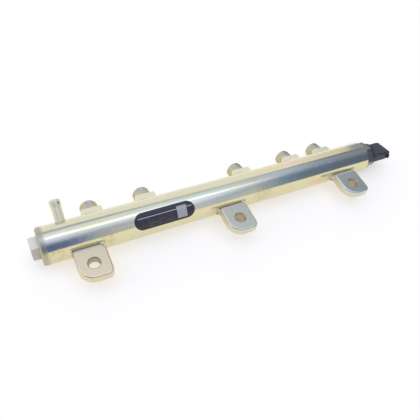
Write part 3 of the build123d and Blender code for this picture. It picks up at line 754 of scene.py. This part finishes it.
# Brazing filler: copper-coloured metal that ran into the corners between lugs and tube, then plated over.
# Each run is remeshed fine, smoothed and swollen a little unevenly, as metal that has flowed.
braze_voxel = 0.25 * mm
braze_smooth = 6
braze_swell = 0.22 * mm
braze_wobble = 0.12 * mm
braze_grain = 900.0
braze_colour = (0.84, 0.76, 0.44)
braze_roughness = 0.24
braze_bump = 0.04 * mm
braze_metal, tree, output = new_material("braze_metal")
place = node(tree, "ShaderNodeTexCoord").outputs["Object"]
film = use_group(tree, film_tree, {"Vector": place, "Drift": 1.0, "Streaks": 0.0, "Mottle": 1.0})["Colour"]
colour = mix(tree, 0.60, film, braze_colour)
lumps = cloud(tree, place, 700.0, 3.0, 0.6)
roughness = maths(tree, "MULTIPLY_ADD", lumps, 0.2, braze_roughness)
coat(tree, output, colour, roughness, lumps, braze_bump, metallic=0.35)

for name in ("braze_1", "braze_2", "braze_3"):
    rough = show(copied(name), name + "_rough")
    remesh = rough.modifiers.new("flow", "REMESH")
    remesh.mode = "VOXEL"
    remesh.voxel_size = braze_voxel
    flowed = bpy.data.meshes.new_from_object(rough.evaluated_get(bpy.context.evaluated_depsgraph_get()))
    bpy.data.objects.remove(rough)
    run = bmesh.new()
    run.from_mesh(flowed)
    bpy.data.meshes.remove(flowed)
    for _ in range(braze_smooth):
        bmesh.ops.smooth_vert(run, verts=run.verts, factor=0.5, use_axis_x=True, use_axis_y=True,
                              use_axis_z=True)
    for vert in run.verts:
        vert.co += vert.normal * (braze_swell + noise.noise(vert.co * braze_grain) * braze_wobble)
    filler = show(run, "filler_" + name)
    filler.data.shade_smooth()
    filler.data.materials.append(braze_metal)
    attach(filler, "rail")
    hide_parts(name)


# End plug: a hexagon plug turned from bar, bright zinc plated, and screwed in on its copper ring. The
# flats that face up are painted brighter, a painted highlight, and the others are greyer and patchy.
zinc_pale = (0.68, 0.62, 0.49)
zinc_dark = (0.50, 0.45, 0.36)
zinc_rubbed = (0.50, 0.45, 0.35)
zinc_painted_highlight = (0.92, 0.82, 0.56)
painted_highlight_tilt = (0.60, 0.95)
zinc_roughness = 0.30
zinc_bump = 0.01 * mm
bright_zinc, tree, output = new_material("bright_zinc")
place = node(tree, "ShaderNodeTexCoord").outputs["Object"]
wear = use_group(tree, wear_tree, {"Vector": place, "Scale": 1.5})
patchy = cloud(tree, place, 350.0, 3.0, 0.6)
facing = node(tree, "ShaderNodeSeparateXYZ", {0: node(tree, "ShaderNodeNewGeometry").outputs["Normal"]})
# Painted highlight: the flats that face up are painted a brighter zinc
painted_highlight = spread(tree, facing.outputs["Z"], *painted_highlight_tilt, 0.0, 0.85)
colour = mix(tree, patchy, zinc_pale, zinc_dark)
colour = mix(tree, maths(tree, "MULTIPLY", wear["Rubbed"], 0.4), colour, zinc_rubbed)
colour = mix(tree, painted_highlight, colour, zinc_painted_highlight)
roughness = maths(tree, "MULTIPLY_ADD", patchy, 0.12, zinc_roughness)
height = maths(tree, "SUBTRACT", patchy, wear["Scratches"])
coat(tree, output, colour, roughness, height, zinc_bump, metallic=0.6)
dress(["end_plug"], bright_zinc)


# Sensor body: a pressure port turned from stainless hexagon bar and screwed into the tube's far end. Its
# steel is a patchy dark brown, painted darker as painted shade, and rubbed pale in places.
shaded_steel_brown = (0.40, 0.35, 0.28)
shaded_steel_dark = (0.26, 0.23, 0.19)
steel_rubbed = (0.52, 0.48, 0.44)
turning_stretch = (2600.0, 40.0, 40.0)
steel_roughness = 0.26
steel_bump = 0.01 * mm
sensor_steel, tree, output = new_material("sensor_steel")
place = node(tree, "ShaderNodeTexCoord").outputs["Object"]
wear = use_group(tree, wear_tree, {"Vector": place, "Scale": 1.3})
turning = cloud(tree, stretched(tree, place, turning_stretch), 1.0, 1.0)
patchy = cloud(tree, place, 300.0, 3.0, 0.6)
# Painted shade: both steel colours are painted darker than the steel itself
colour = mix(tree, patchy, shaded_steel_brown, shaded_steel_dark)
colour = mix(tree, maths(tree, "MULTIPLY", wear["Rubbed"], 0.5), colour, steel_rubbed)
roughness = maths(tree, "MULTIPLY_ADD", patchy, 0.1, steel_roughness)
coat(tree, output, colour, roughness, turning, steel_bump)
dress(["sensor_body"], sensor_steel)


# Sensor housing: moulded in glass-filled black nylon and held by the sensor's crimped cup. Its skin is
# spark-eroded, dusty in patches and scratched paler.
nylon_black = (0.026, 0.024, 0.026)
nylon_dusty = (0.070, 0.063, 0.062)
nylon_scratch = (0.13, 0.13, 0.14)
nylon_roughness = 0.40
nylon_bump = 0.02 * mm
housing_skin, tree, output = new_material("housing_skin")
place = node(tree, "ShaderNodeTexCoord").outputs["Object"]
wear = use_group(tree, wear_tree, {"Vector": place, "Scale": 1.0})
skin = cloud(tree, place, 2600.0, 3.0, 0.7)
dusty = spread(tree, cloud(tree, place, 520.0, 3.0, 0.6), 0.38, 0.62)
colour = mix(tree, dusty, nylon_black, nylon_dusty)
colour = mix(tree, maths(tree, "MULTIPLY", wear["Scratches"], 0.5), colour, nylon_scratch)
roughness = maths(tree, "MULTIPLY_ADD", dusty, 0.16, nylon_roughness)
coat(tree, output, colour, roughness, skin, nylon_bump, metallic=0.0)
dress(["sensor_housing"], housing_skin)


# Type label: black polyester film with rounded ends, stuck round the front of the tube. Printed on it are a
# thin rule line, a plain pale field, and a few faint bars that have nearly worn away.
label_low, label_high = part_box("type_label")
label_centre = ((label_low.x + label_high.x) / 2, axis_y, axis_z)
label_angle = math.radians(135.0)
label_black = (0.032, 0.025, 0.023)
label_faded = (0.058, 0.048, 0.045)
label_roughness = 0.32
label_bump = 0.008 * mm
print_soft = 0.25 * mm
fine_soft = 0.1 * mm
rule_along = (-21.0 * mm, 22.0 * mm)
rule_up = (2.2 * mm, 2.66 * mm)
rule_colour = (0.86, 0.78, 0.60)
field_along = (9.5 * mm, 17.3 * mm)
field_up = (-5.0 * mm, 4.3 * mm)
field_colour = (0.68, 0.62, 0.49)
bars_along = (-18.0 * mm, 6.0 * mm)
bars_up = (-4.9 * mm, 1.5 * mm)
bar_pitch = 1.7 * mm
bar_share = (0.30, 0.62)
bar_colour = (0.44, 0.41, 0.36)
bars_left = (0.40, 0.60)
worn_stretch = (260.0, 900.0, 900.0)
label_film, tree, output = new_material("label_film")
place = node(tree, "ShaderNodeTexCoord").outputs["Object"]
centred = node(tree, "ShaderNodeVectorMath", {0: place, 1: label_centre}, operation="SUBTRACT").outputs[0]
parts = node(tree, "ShaderNodeSeparateXYZ", {0: centred})
lengthwise = parts.outputs["X"]
round_angle = maths(tree, "ARCTAN2", parts.outputs["Z"], parts.outputs["Y"])
upwards = maths(tree, "MULTIPLY", maths(tree, "SUBTRACT", label_angle, round_angle), tube_r)
rule = between(tree, lengthwise, *rule_along, print_soft)
rule = maths(tree, "MULTIPLY", rule, between(tree, upwards, *rule_up, fine_soft))
field = between(tree, lengthwise, *field_along, print_soft)
field = maths(tree, "MULTIPLY", field, between(tree, upwards, *field_up, print_soft))
bars = maths(tree, "FRACT", maths(tree, "MULTIPLY", upwards, 1 / bar_pitch))
bars = between(tree, bars, *bar_share, 0.08)
bars = maths(tree, "MULTIPLY", bars, between(tree, upwards, *bars_up, fine_soft))
bars = maths(tree, "MULTIPLY", bars, between(tree, lengthwise, *bars_along, print_soft))
worn_off = cloud(tree, stretched(tree, centred, worn_stretch), 1.0)
bars = maths(tree, "MULTIPLY", bars, spread(tree, worn_off, *bars_left))
worn = cloud(tree, place, 500.0, 4.0, 0.65)
colour = mix(tree, worn, label_black, label_faded)
colour = mix(tree, maths(tree, "MULTIPLY", bars, 0.22), colour, bar_colour)
colour = mix(tree, maths(tree, "MULTIPLY", rule, 0.90), colour, rule_colour)
colour = mix(tree, maths(tree, "MULTIPLY", field, 0.82), colour, field_colour)
roughness = maths(tree, "MULTIPLY_ADD", worn, 0.12, label_roughness)
coat(tree, output, colour, roughness, worn, label_bump, metallic=0.0)
dress(["type_label"], label_film)


# Valve parts behind the plug, and the throttles pressed into the stubs: seat, poppet, shim and sleeves
# ground from tool steel.
ground_pale = (0.64, 0.64, 0.65)
ground_dark = (0.50, 0.50, 0.52)
grinding_stretch = (3200.0, 60.0, 60.0)
ground_roughness = 0.18
ground_bump = 0.006 * mm
ground_steel, tree, output = new_material("ground_steel")
place = node(tree, "ShaderNodeTexCoord").outputs["Object"]
grinding = cloud(tree, stretched(tree, place, grinding_stretch), 1.0, 1.0)
colour = mix(tree, grinding, ground_pale, ground_dark)
roughness = maths(tree, "MULTIPLY_ADD", grinding, 0.15, ground_roughness)
coat(tree, output, colour, roughness, grinding, ground_bump)
dress(["valve_seat", "valve_poppet", "spring_shim", "throttle_1", "throttle_2", "throttle_3", "throttle_4"],
      ground_steel)


# Valve spring: wound from oiled spring wire between the shim and the poppet's flange.
wire_dark = (0.30, 0.28, 0.27)
wire_pale = (0.42, 0.40, 0.38)
wire_roughness = 0.25
wire_bump = 0.01 * mm
wire_sharp_angle = math.radians(40)
spring_wire, tree, output = new_material("spring_wire")
place = node(tree, "ShaderNodeTexCoord").outputs["Object"]
oiled = cloud(tree, place, 500.0, 3.0, 0.6)
colour = mix(tree, oiled, wire_dark, wire_pale)
roughness = maths(tree, "MULTIPLY_ADD", oiled, 0.15, wire_roughness)
coat(tree, output, colour, roughness, oiled, wire_bump)
spring = show(copied("valve_spring"), "spring_coil")
spring.data.shade_smooth()
spring.data.set_sharp_from_angle(angle=wire_sharp_angle)
spring.data.materials.append(spring_wire)
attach(spring, "rail")
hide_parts("valve_spring")
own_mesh(spring)


# Seals: a soft copper ring under the end plug, tarnished in patches, and a black rubber ring with a pale
# bloom, squeezed inside the sensor's crimped cup.
copper_bright = (0.78, 0.42, 0.28)
copper_dull = (0.48, 0.24, 0.15)
copper_roughness = 0.25
rubber_black = (0.018, 0.018, 0.018)
rubber_bloom = (0.040, 0.039, 0.038)
rubber_roughness = 0.50
seal_bump = 0.01 * mm
soft_copper, tree, output = new_material("soft_copper")
place = node(tree, "ShaderNodeTexCoord").outputs["Object"]
tarnish = cloud(tree, place, 400.0, 3.0, 0.6)
colour = mix(tree, tarnish, copper_bright, copper_dull)
roughness = maths(tree, "MULTIPLY_ADD", tarnish, 0.2, copper_roughness)
coat(tree, output, colour, roughness, tarnish, seal_bump)
dress(["plug_seal"], soft_copper)

seal_rubber, tree, output = new_material("seal_rubber")
place = node(tree, "ShaderNodeTexCoord").outputs["Object"]
bloom = cloud(tree, place, 900.0, 3.0, 0.6)
colour = mix(tree, bloom, rubber_black, rubber_bloom)
roughness = maths(tree, "MULTIPLY_ADD", bloom, 0.2, rubber_roughness)
coat(tree, output, colour, roughness, bloom, seal_bump, metallic=0.0)
dress(["sensor_oring"], seal_rubber)


# Sensor board and terminals: a glass-fibre board whose weave shows through green lacquer, and three tinned
# brass blades that stand on it and end in the connector's socket.
board_green = (0.020, 0.105, 0.045)
board_pale = (0.035, 0.150, 0.070)
weave_stretch = (1.0, 1600.0, 400.0)
board_roughness = 0.25
board_bump = 0.01 * mm
tin_pale = (0.74, 0.72, 0.68)
tin_thin = (0.60, 0.56, 0.46)
tin_stretch = (60.0, 900.0, 900.0)
tin_roughness = 0.20
tin_bump = 0.006 * mm
board_lacquer, tree, output = new_material("board_lacquer")
place = node(tree, "ShaderNodeTexCoord").outputs["Object"]
weave = cloud(tree, stretched(tree, place, weave_stretch), 1.0, 1.0)
colour = mix(tree, weave, board_green, board_pale)
roughness = maths(tree, "MULTIPLY_ADD", weave, 0.1, board_roughness)
coat(tree, output, colour, roughness, weave, board_bump, metallic=0.0)
dress(["sensor_board"], board_lacquer)

tinned_brass, tree, output = new_material("tinned_brass")
place = node(tree, "ShaderNodeTexCoord").outputs["Object"]
tin = cloud(tree, stretched(tree, place, tin_stretch), 1.0)
colour = mix(tree, tin, tin_pale, tin_thin)
roughness = maths(tree, "MULTIPLY_ADD", tin, 0.12, tin_roughness)
coat(tree, output, colour, roughness, tin, tin_bump)
dress(["terminal_1", "terminal_2", "terminal_3"], tinned_brass)
